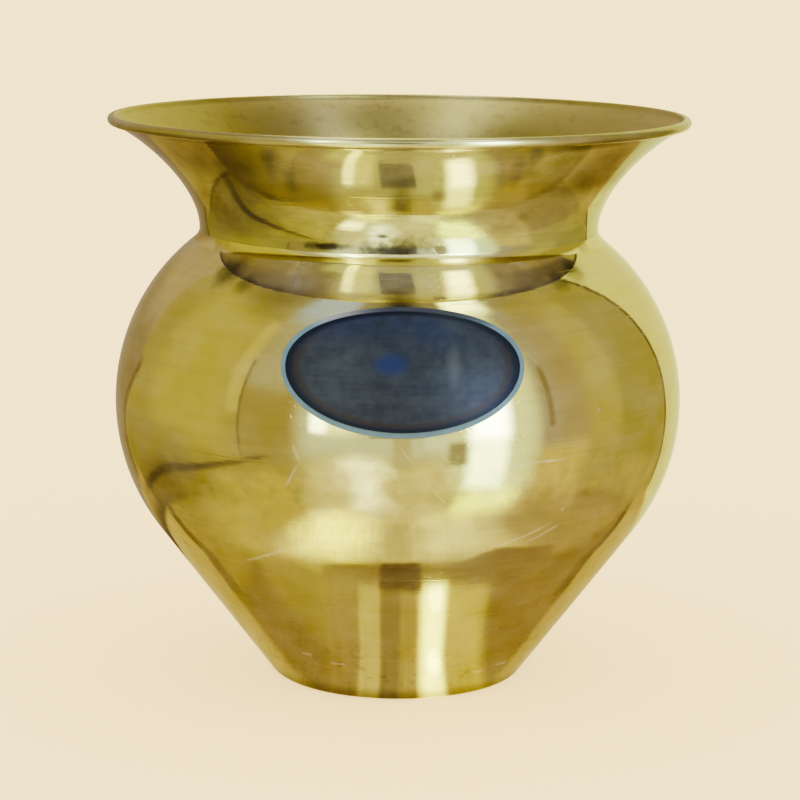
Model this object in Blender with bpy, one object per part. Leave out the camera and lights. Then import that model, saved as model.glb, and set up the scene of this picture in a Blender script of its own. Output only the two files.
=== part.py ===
"""A brass lota: a spun mouth and neck, two bowl halves, their brazed seams and an oval label.

Metres, +Z up. The origin is on the table, at the middle of the base, and the label faces -Y.
A section of the vessel is drawn as (radius, height) points and turned about the Z axis.
"""

import math

import bpy
from mathutils import Vector

# Outline of the vessel
HEIGHT = 0.105  # table to the top of the lip
LIP_RADIUS = 0.0536  # outside of the lip
NECK_RADIUS = 0.037  # outside of the neck, where it is narrowest
BELLY_RADIUS = 0.0528  # outside of the body, where it is widest
BELLY_HEIGHT = 0.052  # table to the widest place, where the two bowl halves meet
BELLY_ROUND = 0.038  # radius of the belly's curve in section
BASE_RADIUS = 0.0243  # outside of the base
BASE_EDGE = 0.002  # rounding of the base's outer corner

# Sheet, flare and lip
WALL = 0.001  # thickness of the brass sheet
LIP_SWELL = 0.00035  # how far the rolled lip stands proud of the sheet on each face
LIP_TILT = math.radians(27)  # how steeply the sheet still climbs as it reaches the lip
FLARE_RISE = 0.36  # share of the flare's height over which it leaves the neck upright
FLARE_REACH = 0.45  # share of the flare's width over which it runs out to the lip

# Underside of the base
FOOT_RING = 0.0053  # width of the flat ring that the vessel stands on
DISH_RISE = 0.0008  # how far the middle of the base is pushed up inside that ring
DISH_SLOPE = 0.002  # width of the slope between the ring and the raised middle
BASE_INSIDE_EDGE = 0.0015  # rounding of the corner inside the bowl

# Seams
JOINT_GAP = 0.0003  # clearance between pieces that meet
SPIGOT_DEPTH = 0.0025  # how far the neck reaches down inside the shoulder
LAP_HEIGHT = 0.004  # how far the lower half's lip reaches up inside the upper half
JOGGLE_HEIGHT = 0.003  # height over which the lower half steps in to that lip
NECK_BRAZE_LEG = 0.0014  # fillet of brazing metal outside, round the foot of the neck
BELLY_BRAZE_LEG = 0.0012  # fillet of brazing metal inside, over the lip of the lap
BRAZE_HOLLOW = 0.5  # how far a fillet's face sags from the straight line (0) to the corner (1)

# Oval label on the upper half of the body
LABEL_WIDTH = 0.042  # measured round the belly
LABEL_HEIGHT = 0.0225  # measured up the belly
LABEL_RISE = 0.0141  # from the belly's widest line up to the label's middle
LABEL_MARGIN = 0.0009  # backing that shows round the face
LABEL_GAP = 0.00015  # clearance to the body, and between the label's two layers
BACKING_THICKNESS = 0.0002
FACE_EDGE = 0.0002  # thickness of the face at its edge
FACE_CROWN = 0.0005  # thickness of the face at its middle

# Fineness of the solids
TURN_STEPS = 64
BELLY_STEP = math.radians(6)  # turn between points along the belly's curve
EDGE_STEP = math.radians(25)  # turn between points round an edge or the lip
FLARE_STEPS = 12
FILLET_STEPS = 4
LABEL_STEPS = 48
LABEL_RINGS = 4
LABEL_CREASE = math.radians(40)  # turn between faces past which the label's edge is shaded sharp
MERGE_DISTANCE = 0.00001  # points this near the axis become one

# Values that follow from the sizes above
BELLY_CENTRE = BELLY_RADIUS - BELLY_ROUND  # radius at which the belly's curve has its centre
COLLAR_RADIUS = NECK_RADIUS + JOINT_GAP  # hole in the shoulder that the neck passes through
LIP_BEAD = WALL / 2 + LIP_SWELL  # radius of the rolled lip in section
LAP_INSET = WALL + JOINT_GAP  # depth of the lap's outer face below the body's surface
DISH_EDGE = BASE_RADIUS - BASE_EDGE - FOOT_RING  # outer radius of the slope under the base
DISH_RADIUS = DISH_EDGE - DISH_SLOPE  # radius of the raised middle


def belly_point(angle, inset=0.0):
    """Point on the belly's curve, at an angle above its widest place and at a depth below the surface."""
    reach = BELLY_ROUND - inset
    return BELLY_CENTRE + reach * math.cos(angle), BELLY_HEIGHT + reach * math.sin(angle)


def belly_angle_at_radius(radius, inset=0.0):
    """Angle on the shoulder at which the belly's curve has this radius."""
    return math.acos((radius - BELLY_CENTRE) / (BELLY_ROUND - inset))


def belly_angle_at_height(height, inset=0.0):
    """Angle at which the belly's curve has this height."""
    return math.asin((height - BELLY_HEIGHT) / (BELLY_ROUND - inset))


def belly_run(start, end, inset=0.0):
    """Points along the belly's curve from one angle to another."""
    return [belly_point(angle, inset) for angle in spaced(start, end, BELLY_STEP)]


def spaced(start, end, step):
    """Evenly spaced angles from start to end, no further apart than a step."""
    count = max(1, math.ceil(abs(end - start) / step))
    return [start + (end - start) * i / count for i in range(count + 1)]


def round_run(centre, radius, start, end):
    """Points round an edge from one angle to another."""
    return [
        (centre[0] + radius * math.cos(angle), centre[1] + radius * math.sin(angle))
        for angle in spaced(start, end, EDGE_STEP)
    ]


def fillet_run(start, corner, end):
    """Points along a hollow fillet that sags from the line between start and end towards their corner."""
    start, corner, end = Vector(start), Vector(corner), Vector(end)
    pull = ((start + end) / 2).lerp(corner, BRAZE_HOLLOW)
    shares = [i / FILLET_STEPS for i in range(FILLET_STEPS + 1)]
    return [tuple(start.lerp(pull, t).lerp(pull.lerp(end, t), t)) for t in shares]


def cone_angle():
    """Angle below level at which the straight cone's face looks, touching the belly and the base's edge."""
    out = BASE_RADIUS - BASE_EDGE - BELLY_CENTRE
    down = BASE_EDGE - BELLY_HEIGHT
    share = (BELLY_ROUND - BASE_EDGE) / math.hypot(out, down)
    return math.atan2(down, out) + math.acos(share)


def inside_corner(angle):
    """Centre of the rounding inside the bowl, where the cone's inner face meets the floor."""
    face = BELLY_CENTRE * math.cos(angle) + BELLY_HEIGHT * math.sin(angle) + BELLY_ROUND
    height = WALL + BASE_INSIDE_EDGE
    radius = (face - WALL - BASE_INSIDE_EDGE - height * math.sin(angle)) / math.cos(angle)
    return radius, height


def shoulder_height():
    """Height at which the neck comes through the shoulder's surface."""
    return belly_point(belly_angle_at_radius(COLLAR_RADIUS))[1]


def flare_middle(share):
    """Point and upward direction of the flared sheet's middle line, from the neck (0) to the lip (1)."""
    foot = Vector((NECK_RADIUS - WALL / 2, flare_foot()))
    lip = Vector((LIP_RADIUS - LIP_BEAD, HEIGHT - LIP_BEAD))
    reach = FLARE_REACH * (lip.x - foot.x)
    rise = Vector((foot.x, foot.y + FLARE_RISE * (lip.y - foot.y)))
    run_out = lip - Vector((reach, reach * math.tan(LIP_TILT)))
    t, s = share, 1 - share
    point = s**3 * foot + 3 * s**2 * t * rise + 3 * s * t**2 * run_out + t**3 * lip
    along = s**2 * (rise - foot) + 2 * s * t * (run_out - rise) + t**2 * (lip - run_out)
    return point, along.normalized()


def flare_foot():
    """Height at which the flare leaves the neck, just above the brazed fillet."""
    corner = belly_angle_at_radius(COLLAR_RADIUS, -JOINT_GAP)
    return belly_point(corner, -JOINT_GAP)[1] + NECK_BRAZE_LEG


def flare_face(side):
    """Points up one face of the flare, stopping where the rolled lip begins. side is 1 outside, -1 inside."""
    lip = flare_middle(1)[0]
    lip_start = math.sqrt(LIP_BEAD**2 - (WALL / 2) ** 2)
    points = []
    for i in range(FLARE_STEPS):
        middle, along = flare_middle(i / FLARE_STEPS)
        if (lip - middle).length > lip_start + LIP_BEAD:
            outward = Vector((along.y, -along.x))
            points.append(tuple(middle + outward * side * WALL / 2))
    return points


def lip_run():
    """Points round the rolled lip, from the flare's inner face over the edge to its outer face."""
    centre, along = flare_middle(1)
    heading = math.atan2(along.y, along.x)
    turn = math.pi - math.asin(WALL / 2 / LIP_BEAD)
    return round_run(centre, LIP_BEAD, heading + turn, heading - turn)


def mouth_neck_section():
    """Flared mouth and neck: lip, outer face down to the end of the spigot, and inner face up again."""
    collar_inside = belly_point(belly_angle_at_radius(COLLAR_RADIUS, WALL), WALL)[1]
    end = collar_inside - SPIGOT_DEPTH
    spigot = [(NECK_RADIUS, end), (NECK_RADIUS - WALL, end)]
    return lip_run() + flare_face(1)[::-1] + spigot + flare_face(-1)


def upper_body_section():
    """Upper bowl half: outer face down from the collar to the widest place, and inner face up again."""
    seat = BELLY_HEIGHT + JOINT_GAP
    outer = belly_run(belly_angle_at_radius(COLLAR_RADIUS), belly_angle_at_height(seat))
    inner_top = belly_angle_at_radius(COLLAR_RADIUS, WALL)
    inner = belly_run(belly_angle_at_height(seat, WALL), inner_top, WALL)
    return outer + inner


def lap_top():
    """Height of the lower half's lip inside the upper half."""
    return BELLY_HEIGHT + LAP_HEIGHT


def lower_body_section():
    """Lower bowl half: lap lip, ledge, belly, cone and base outside, then the floor and wall inside."""
    cone = cone_angle()
    top = lap_top()
    lip = belly_run(belly_angle_at_height(top, LAP_INSET), 0, LAP_INSET)
    belly = belly_run(0, cone)
    edge = round_run((BASE_RADIUS - BASE_EDGE, BASE_EDGE), BASE_EDGE, cone, -math.pi / 2)
    ring = [(DISH_EDGE, 0), (DISH_RADIUS, DISH_RISE), (0, DISH_RISE)]
    floor = [(0, DISH_RISE + WALL), (DISH_RADIUS, DISH_RISE + WALL), (DISH_EDGE, WALL)]
    corner = round_run(inside_corner(cone), BASE_INSIDE_EDGE, -math.pi / 2, cone)
    step = belly_angle_at_height(BELLY_HEIGHT - JOGGLE_HEIGHT, WALL)
    wall = belly_run(cone, step, WALL)
    lip_inset = LAP_INSET + WALL
    lip_inside = belly_run(0, belly_angle_at_height(top, lip_inset), lip_inset)
    return [*floor, *corner, *wall, *lip_inside, *lip, *belly, *edge, *ring]


def neck_braze_section():
    """Fillet of brazing metal in the corner between the neck and the shoulder, outside."""
    corner_angle = belly_angle_at_radius(COLLAR_RADIUS, -JOINT_GAP)
    corner = belly_point(corner_angle, -JOINT_GAP)
    top = (corner[0], corner[1] + NECK_BRAZE_LEG)
    toe_angle = corner_angle - NECK_BRAZE_LEG / BELLY_ROUND
    toe = belly_point(toe_angle, -JOINT_GAP)
    return [*fillet_run(top, corner, toe), corner]


def belly_braze_section():
    """Fillet of brazing metal inside the bowl, on the lap's lip and against the upper half's wall."""
    seat = lap_top() + JOINT_GAP
    corner = belly_point(belly_angle_at_height(seat, LAP_INSET), LAP_INSET)
    top_angle = belly_angle_at_height(seat + BELLY_BRAZE_LEG, LAP_INSET)
    top = belly_point(top_angle, LAP_INSET)
    toe = (corner[0] - WALL, seat)
    return [corner, *fillet_run(toe, corner, top)]


def turned(name, section, seat, material, parent):
    """Object turned from a section. A section that starts and ends on the axis stays open there."""
    on_axis = section[0][0] == 0 and section[-1][0] == 0
    points = [(radius, 0, height - seat) for radius, height in section]
    count = len(points)
    edges = [(i, (i + 1) % count) for i in range(count - on_axis)]
    mesh = bpy.data.meshes.new(name)
    mesh.from_pydata(points, edges, [])
    made = placed(name, mesh, material, parent)
    made.location.z = seat
    turn = made.modifiers.new("turn", "SCREW")
    turn.steps = TURN_STEPS
    turn.render_steps = TURN_STEPS
    turn.use_merge_vertices = True
    turn.merge_threshold = MERGE_DISTANCE
    return made


def label_point(across, up, lift):
    """Point over the body: across is measured round the belly, up along it, lift out from its surface."""
    angle = (LABEL_RISE + up) / BELLY_ROUND
    radius, height = belly_point(angle, -lift)
    turn = across / belly_point(angle)[0]
    return radius * math.sin(turn), -radius * math.cos(turn), height


def label_layer(name, shrink, floor, edge, crown, material, parent):
    """Oval layer that follows the belly, from a lift above it, with its own thickness at edge and middle."""
    half_width = LABEL_WIDTH / 2 - shrink
    half_height = LABEL_HEIGHT / 2 - shrink
    points = []
    for top in (False, True):
        for ring in range(LABEL_RINGS + 1):
            share = ring / LABEL_RINGS
            lift = floor + (edge + (crown - edge) * (1 - share**2) if top else 0)
            for step in range(LABEL_STEPS if ring else 1):
                turn = 2 * math.pi * step / LABEL_STEPS
                across = half_width * share * math.cos(turn)
                points.append(label_point(across, half_height * share * math.sin(turn), lift))
    mesh = bpy.data.meshes.new(name)
    mesh.from_pydata(points, [], label_faces(len(points) // 2))
    mesh.shade_smooth()
    mesh.set_sharp_from_angle(angle=LABEL_CREASE)
    return placed(name, mesh, material, parent)


def label_faces(layer):
    """Faces of an oval layer: a fan and rings on the top, the same turned over below, and the edge."""
    def at(ring, step):
        return 1 + (ring - 1) * LABEL_STEPS + step % LABEL_STEPS

    top = []
    for step in range(LABEL_STEPS):
        top.append((0, at(1, step), at(1, step + 1)))
        for ring in range(1, LABEL_RINGS):
            inner = (at(ring, step), at(ring, step + 1))
            outer = (at(ring + 1, step), at(ring + 1, step + 1))
            top.append((inner[0], outer[0], outer[1], inner[1]))
    below = [face[::-1] for face in top]
    above = [tuple(layer + corner for corner in face) for face in top]
    edge = []
    for step in range(LABEL_STEPS):
        near, far = at(LABEL_RINGS, step), at(LABEL_RINGS, step + 1)
        edge.append((near, far, layer + far, layer + near))
    return below + above + edge


def placed(name, mesh, material, parent):
    """Object in the scene with this mesh and material, carried by the vessel's empty."""
    made = bpy.data.objects.new(name, mesh)
    mesh.materials.append(material)
    bpy.context.scene.collection.objects.link(made)
    made.parent = parent
    return made


def finish(name, colour, roughness, metallic):
    """Material with the colour, roughness and metallic value of one finish."""
    material = bpy.data.materials.new(name)
    material.use_nodes = True
    shader = material.node_tree.nodes["Principled BSDF"]
    shader.inputs["Base Color"].default_value = (*colour, 1)
    shader.inputs["Roughness"].default_value = roughness
    shader.inputs["Metallic"].default_value = metallic
    material.diffuse_color = (*colour, 1)
    return material


def build_vessel(vessel):
    """The spun brass pieces and the brazing metal that joins them."""
    brass = finish("polished_brass", (0.72, 0.53, 0.14), 0.16, 1)
    braze = finish("brazing_metal", (0.78, 0.64, 0.28), 0.3, 1)
    turned("lower_body", lower_body_section(), 0, brass, vessel)
    turned("belly_braze", belly_braze_section(), lap_top(), braze, vessel)
    turned("upper_body", upper_body_section(), BELLY_HEIGHT, brass, vessel)
    turned("neck_braze", neck_braze_section(), shoulder_height(), braze, vessel)
    turned("mouth_neck", mouth_neck_section(), shoulder_height(), brass, vessel)


def build_label(vessel):
    """The label's backing, and the raised face that leaves a margin of the backing showing."""
    margin_blue = finish("label_margin_blue", (0.2, 0.36, 0.48), 0.4, 0)
    face_blue = finish("label_face_blue", (0.028, 0.042, 0.075), 0.25, 0)
    flat = BACKING_THICKNESS
    label_layer("label_backing", 0, LABEL_GAP, flat, flat, margin_blue, vessel)
    floor = LABEL_GAP + BACKING_THICKNESS + LABEL_GAP
    label_layer("label_face", LABEL_MARGIN, floor, FACE_EDGE, FACE_CROWN, face_blue, vessel)


def main():
    for old in list(bpy.data.objects):
        bpy.data.objects.remove(old)
    vessel = bpy.data.objects.new("lota", None)
    bpy.context.scene.collection.objects.link(vessel)
    build_vessel(vessel)
    build_label(vessel)


main()
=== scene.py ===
# %% [markdown]
# A brass lota, dressed around its CAD frame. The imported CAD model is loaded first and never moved. Its
# solids are right in size but coarse, so each one is replaced by a finer surface in the same place, and
# every surface gets a finish made of nodes.

# %% Load the frame
import math

import bpy
import numpy as np
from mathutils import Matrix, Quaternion, Vector


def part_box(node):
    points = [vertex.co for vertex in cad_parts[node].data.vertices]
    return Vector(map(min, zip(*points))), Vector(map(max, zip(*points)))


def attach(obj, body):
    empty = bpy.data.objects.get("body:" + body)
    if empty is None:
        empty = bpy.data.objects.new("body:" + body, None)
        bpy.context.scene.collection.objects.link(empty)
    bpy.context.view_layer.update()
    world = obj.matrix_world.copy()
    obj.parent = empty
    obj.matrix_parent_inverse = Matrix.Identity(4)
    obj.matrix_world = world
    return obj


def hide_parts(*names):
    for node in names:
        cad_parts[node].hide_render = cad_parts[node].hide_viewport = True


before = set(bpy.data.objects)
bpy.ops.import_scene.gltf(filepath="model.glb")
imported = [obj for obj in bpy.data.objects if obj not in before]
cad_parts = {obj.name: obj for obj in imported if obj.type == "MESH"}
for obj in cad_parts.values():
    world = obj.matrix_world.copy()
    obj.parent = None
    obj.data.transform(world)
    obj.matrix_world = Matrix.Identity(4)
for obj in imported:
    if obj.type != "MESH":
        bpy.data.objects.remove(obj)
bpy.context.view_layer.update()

print("CAD nodes:", ", ".join(sorted(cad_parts)))

# %% [markdown]
# The vessel is round, so a handful of sizes describe it. Those that a CAD node's box shows are read from
# the frame; the rest repeat the driving sizes of the part, in metres. Taking them from the frame keeps the
# dressed vessel on its solids if the part is ever packed at another size.

# %% Sizes
MM = 1000.0  # millimetres in a metre

mouth_low, mouth_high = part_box("mouth_neck")
upper_low, upper_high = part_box("upper_body")
_, lower_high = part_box("lower_body")

height = mouth_high.z  # table to the top of the lip
lip_radius = mouth_high.x  # outside of the lip
spigot_end = mouth_low.z  # lower end of the neck, inside the shoulder
belly_radius = lower_high.x  # outside of the body, where it is widest
lap_height = 0.004  # how far the lower half's lip reaches up inside the upper half
belly_height = lower_high.z - lap_height  # table to the widest line
joint_gap = upper_low.z - belly_height  # clearance between the two bowl halves
neck_radius = 0.037  # outside of the neck, where it is narrowest
wall = 0.001  # thickness of the brass sheet
base_radius = 0.0243  # outside of the base
base_edge = 0.002  # rounding of the base's outer corner

collar_radius = neck_radius + joint_gap
shoulder_drop = belly_radius - collar_radius
shoulder_rise = upper_high.z - belly_height
belly_round = (shoulder_drop**2 + shoulder_rise**2) / (2 * shoulder_drop)
belly_centre = belly_radius - belly_round
print(f"height {height * MM:.1f} mm, belly {belly_radius * 2 * MM:.1f} mm, curve {belly_round * MM:.1f} mm")

# %% [markdown]
# Spinning presses a turning sheet over a former, so every piece is a section carried round an axis.
# Blender's Screw modifier could turn a drawn section, but then nothing could vary round the vessel. Here
# the section is an array of (radius, height) points, and the whole surface is worked out at once from it.

# %% Curves for the sections
def belly_curve(angle, inset=0.0):
    """Points on the belly's circle in section: centre plus (radius less inset), at angles above level."""
    reach = belly_round - inset
    return np.column_stack((belly_centre + reach * np.cos(angle), belly_height + reach * np.sin(angle)))


def belly_angle(rise, inset=0.0):
    """Angle at which the belly's circle stands this far above its widest line."""
    return math.asin(rise / (belly_round - inset))


def arc(centre, radius, start, end, count):
    """Points on a circle from one angle to another, evenly spaced."""
    angle = np.linspace(start, end, count)
    return np.column_stack((centre[0] + radius * np.cos(angle), centre[1] + radius * np.sin(angle)))


def line(start, end, count):
    """Points on a straight line between two points, evenly spaced."""
    return np.linspace(start, end, count)


print("widest point of the belly, in mm:", belly_curve(np.zeros(1))[0] * MM)

# %% [markdown]
# A hand-spun vessel is never quite round, and years of use leave shallow dents. Both bend the reflections a
# little, which is what tells the eye that the metal is thin sheet. They are put into the shape itself, as
# one field over turn and height, so that all pieces share it and stay in touch.

# %% Out-of-round and dents
SHELL_TURNS = 360  # points round a brass piece
# Each wave has its count round the vessel, its depth, its drift per metre of height, and its start.
SLOW_WAVES = (
    (2, 0.00009, 11.0, 0.4),
    (3, 0.00006, -17.0, 2.1),
    (5, 0.00003, 31.0, 4.4),
    (8, 0.000012, -60.0, 1.3),
)
# Each dent has its turn from the front in degrees, its height, its reach and its depth.
DENTS = (
    (-52.0, 0.043, 0.006, 0.00012),
    (37.0, 0.047, 0.005, 0.00008),
    (64.0, 0.030, 0.006, 0.00010),
    (128.0, 0.061, 0.007, 0.00016),
    (-141.0, 0.039, 0.008, 0.00016),
    (172.0, 0.024, 0.005, 0.00010),
)


def out_of_round(turn, rise):
    """Radius to add at a turn and a height: slow waves, less a soft round hollow at each dent."""
    total = np.zeros(np.broadcast(turn, rise).shape)
    for count, depth, drift, start in SLOW_WAVES:
        total += depth * np.sin(count * turn + drift * rise + start)
    for degrees, dent_height, reach, depth in DENTS:
        swing = (turn - math.radians(degrees) + math.pi) % (2 * math.pi) - math.pi
        distance = (swing * belly_radius) ** 2 + (rise - dent_height) ** 2
        total -= depth * np.exp(-distance / reach**2)
    return total


def even_turns(count):
    """Turns evenly spaced round the vessel, the last one short of the first."""
    return np.linspace(0, 2 * math.pi, count, endpoint=False)


def around(radius, turn, rise):
    """Points at a radius, a turn from the front and a height. A turn of 0 faces -Y, where the label is."""
    return np.stack((radius * np.sin(turn), -radius * np.cos(turn), rise + 0 * turn), axis=-1)


def turned(section, turns):
    """Surface of revolution: each section point swung about +Z, its radius moved out of round by that place.

    The wave fades out towards the axis, so the base stays flat."""
    turn = even_turns(turns)[None, :]
    radius, rise = section[:, :1], section[:, 1:]
    fade = np.clip(radius / base_radius, 0, 1) ** 2
    return around(radius + fade * out_of_round(turn, rise), turn, rise)


swell = out_of_round(even_turns(SHELL_TURNS), belly_height)
print(f"belly out of round by {np.ptp(swell) * MM:.2f} mm")

# %% [markdown]
# One helper makes every mesh from a grid of points. The columns always join up round the vessel. The rows
# either join up too, for a ring of sheet, or close at a pole at both ends, for the bowl and the label. The
# helper measures the volume that the faces shut in, and turns them over if they look inwards.

# %% Meshes from grids
CREASE = math.radians(32)  # edges sharper than this aren't smoothed


def grid_faces(rows, columns, closed):
    """Quads between neighbouring rows and columns; if not closed, triangles from the ends to two poles."""
    row = np.arange(rows if closed else rows - 1)[:, None]
    column = np.arange(columns)[None, :]
    after = (column + 1) % columns
    below = (row + 1) % rows
    left, right = row * columns + column, row * columns + after
    corners = (left, right, below * columns + after, below * columns + column)
    quads = np.stack(np.broadcast_arrays(*corners), axis=-1).reshape(-1, 4)
    if closed:
        return quads.tolist()
    first_pole = rows * columns
    here, beyond = column[0], after[0]
    last_row = (rows - 1) * columns
    first = np.column_stack((np.full(columns, first_pole), beyond, here))
    last = np.column_stack((np.full(columns, first_pole + 1), last_row + here, last_row + beyond))
    return quads.tolist() + first.tolist() + last.tolist()


def shut_in(points, faces):
    """Volume that the faces shut in: the sum over triangles of corner . (corner x corner) / 6."""
    halves = [(face[0], face[2], face[3]) for face in faces if len(face) == 4]
    triangles = np.array([face[:3] for face in faces] + halves)
    a, b, c = (points[triangles[:, i]] for i in range(3))
    return np.einsum("ij,ij->i", a, np.cross(b, c)).sum() / 6


def piece(name, grid, node, marks, poles=None):
    """Mesh object from a grid of points, in the place of a CAD node; marks are values for each row."""
    rows, columns = grid.shape[:2]
    points = grid.reshape(-1, 3)
    per_point = {mark: np.repeat(value, columns) for mark, value in marks.items()}
    if poles is not None:
        points = np.vstack((points, poles))
        per_point = {mark: np.append(value, value[[0, -1]]) for mark, value in per_point.items()}
    faces = grid_faces(rows, columns, poles is None)
    volume = shut_in(points, faces)
    if volume < 0:
        faces = [face[::-1] for face in faces]
    mesh = bpy.data.meshes.new(name)
    mesh.from_pydata(points.tolist(), [], faces)
    for mark, value in per_point.items():
        mesh.attributes.new(mark, "FLOAT", "POINT").data.foreach_set("value", value.astype(np.float32))
    mesh.shade_smooth()
    mesh.set_sharp_from_angle(angle=CREASE)
    made = bpy.data.objects.new(name, mesh)
    bpy.context.scene.collection.objects.link(made)
    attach(made, "root")
    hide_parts(node)
    print(f"{name}: {len(points)} points, {len(faces)} faces, {abs(volume) * MM**2:.2f} ml")
    return made


def shell(name, section, inside, node, poles=None):
    """Brass piece turned from a section; it carries its run along the section and what faces inwards."""
    step = np.linalg.norm(np.diff(section, axis=0), axis=1)
    marks = {"run": np.append(0, np.cumsum(step)), "inside": inside}
    return piece(name, turned(section, SHELL_TURNS), node, marks, poles)


# %% [markdown]
# The mouth is one sheet that leaves the neck upright and runs out almost level to a small rolled lip. Its
# middle line is a cubic Bezier curve, which holds both directions exactly; a circle would fit the
# photograph less well. The sheet's two faces lie half its thickness to each side, and the lip is a circle
# round the end.

# %% Flared mouth
LIP_SWELL = 0.00035  # how far the lip stands proud of the sheet on each face
LIP_TILT = math.radians(27)  # how steeply the sheet still climbs at the lip
LIP_CLEAR = 1.25  # where the sheet's faces stop, in lip radii from the lip's centre
LIP_OPEN = 0.25  # angle that the lip's circle leaves open at each face
FLARE_RISE = 0.36  # share of the flare's height over which it leaves the neck upright
FLARE_REACH = 0.45  # share of its width over which it runs out to the lip
FLARE_POINTS = 70
LIP_POINTS = 28
SPIGOT_POINTS = 10

_, braze_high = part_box("neck_braze")
lip_bead = wall / 2 + LIP_SWELL
flare_foot = np.array((neck_radius - wall / 2, braze_high.z))
lip_centre = np.array((lip_radius - lip_bead, height - lip_bead))


def flare_line(share):
    """Middle line of the flared sheet: the cubic Bezier point at each share, and the unit direction there."""
    reach = FLARE_REACH * (lip_centre[0] - flare_foot[0])
    upright = flare_foot + (0, FLARE_RISE * (lip_centre[1] - flare_foot[1]))
    run_out = lip_centre - (reach, reach * math.tan(LIP_TILT))
    t = share[:, None]
    s = 1 - t
    point = s**3 * flare_foot + 3 * s**2 * t * upright + 3 * s * t**2 * run_out + t**3 * lip_centre
    along = s**2 * (upright - flare_foot) + 2 * s * t * (run_out - upright) + t**2 * (lip_centre - run_out)
    return point, along / np.linalg.norm(along, axis=1)[:, None]


def flare_face(side):
    """One face of the flare: the middle line moved half a wall outwards (1) or inwards (-1)."""
    point, along = flare_line(np.linspace(0, 1, FLARE_POINTS))
    outward = np.column_stack((along[:, 1], -along[:, 0]))
    clear = np.linalg.norm(lip_centre - point, axis=1) > lip_bead * LIP_CLEAR
    return (point + outward * side * wall / 2)[clear]


def mouth_section():
    """Loop round the sheet: up the inside, over the lip, down the outside to the spigot's end."""
    turn = math.pi - math.asin(wall / 2 / lip_bead) - LIP_OPEN
    lip = arc(lip_centre, lip_bead, LIP_TILT + turn, LIP_TILT - turn, LIP_POINTS)
    outer = flare_face(1)[::-1]
    inner = flare_face(-1)
    outer_spigot = line(outer[-1], (neck_radius, spigot_end), SPIGOT_POINTS)[1:]
    inner_spigot = line((neck_radius - wall, spigot_end), inner[0], SPIGOT_POINTS)[:-1]
    section = np.vstack((lip, outer, outer_spigot, inner_spigot, inner))
    over_lip = np.linspace(1, 0, len(lip))
    outside = np.zeros(len(outer) + len(outer_spigot))
    return section, np.concatenate((over_lip, outside, np.ones(len(inner) + len(inner_spigot))))


flared_mouth = shell("flared_mouth", *mouth_section(), "mouth_neck")

# %% [markdown]
# The upper half of the bowl is a ring of sheet from the hole at the neck down to the widest line. It is the
# belly's circle twice, at the surface and a wall below it. The label lies on it, but the label is a piece
# of its own, so nothing is cut here.

# %% Upper half of the bowl
SHOULDER_POINTS = 90


def upper_section():
    """Loop round the sheet: the belly's circle from the collar to the seat, and back up a wall inside."""
    collar = math.acos((collar_radius - belly_centre) / belly_round)
    collar_inside = math.acos((collar_radius - belly_centre) / (belly_round - wall))
    outer = belly_curve(np.linspace(collar, 0, SHOULDER_POINTS))
    inner = belly_curve(np.linspace(0, collar_inside, SHOULDER_POINTS), wall)
    return np.vstack((outer, inner)), np.repeat((0.0, 1.0), SHOULDER_POINTS)


upper_shell = shell("upper_shell", *upper_section(), "upper_body")

# %% [markdown]
# The lower half carries the belly on into a straight taper and a small rounded base with a flat ring to
# stand on. At its top the sheet steps in and goes up inside the upper half, so the two lap. Its section
# runs from the axis inside to the axis below, and the surface closes there at two poles.

# %% Lower half of the bowl
FOOT_RING = 0.0053  # width of the flat ring that the vessel stands on
DISH_RISE = 0.0008  # how far the middle of the base is pushed up inside that ring
DISH_SLOPE = 0.002  # width of the slope between the ring and the raised middle
INSIDE_EDGE = 0.0015  # rounding of the corner inside the bowl
JOGGLE_HEIGHT = 0.003  # height over which the sheet steps in to the lap
POLE_RADIUS = 0.0004  # radius of the last ring round each pole
DISH_POINTS = 18
CORNER_POINTS = 10
INNER_WALL_POINTS = 40
INNER_TAPER_POINTS = 34
LAP_POINTS = 8
BELLY_POINTS = 60
TAPER_POINTS = 46
EDGE_POINTS = 14
RING_POINTS = 6
DOWN = -math.pi / 2

lap_inset = wall + joint_gap
dish_edge = base_radius - base_edge - FOOT_RING
dish_radius = dish_edge - DISH_SLOPE


def taper_angle():
    """Angle of the taper's face below level: its line touches the belly's circle and the base's edge."""
    out = base_radius - base_edge - belly_centre
    down = base_edge - belly_height
    return math.atan2(down, out) + math.acos((belly_round - base_edge) / math.hypot(out, down))


def lower_inside(taper):
    """From the axis over the bowl's floor, round its corner, up the wall and up the inside of the lap."""
    face = belly_centre * math.cos(taper) + belly_height * math.sin(taper) + belly_round
    corner_height = wall + INSIDE_EDGE
    corner_radius = (face - wall - INSIDE_EDGE - corner_height * math.sin(taper)) / math.cos(taper)
    floor = line((POLE_RADIUS, DISH_RISE + wall), (dish_radius, DISH_RISE + wall), DISH_POINTS)
    corner = arc((corner_radius, corner_height), INSIDE_EDGE, DOWN, taper, CORNER_POINTS)
    step = belly_angle(-JOGGLE_HEIGHT, wall)
    inner_wall = belly_curve(np.linspace(taper, step, INNER_WALL_POINTS), wall)
    inner_taper = line(corner[-1], inner_wall[0], INNER_TAPER_POINTS)[1:-1]
    inset = lap_inset + wall
    lap = belly_curve(np.linspace(0, belly_angle(lap_height, inset), LAP_POINTS), inset)
    return np.vstack((floor, (dish_edge, wall), corner, inner_taper, inner_wall, lap))


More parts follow.
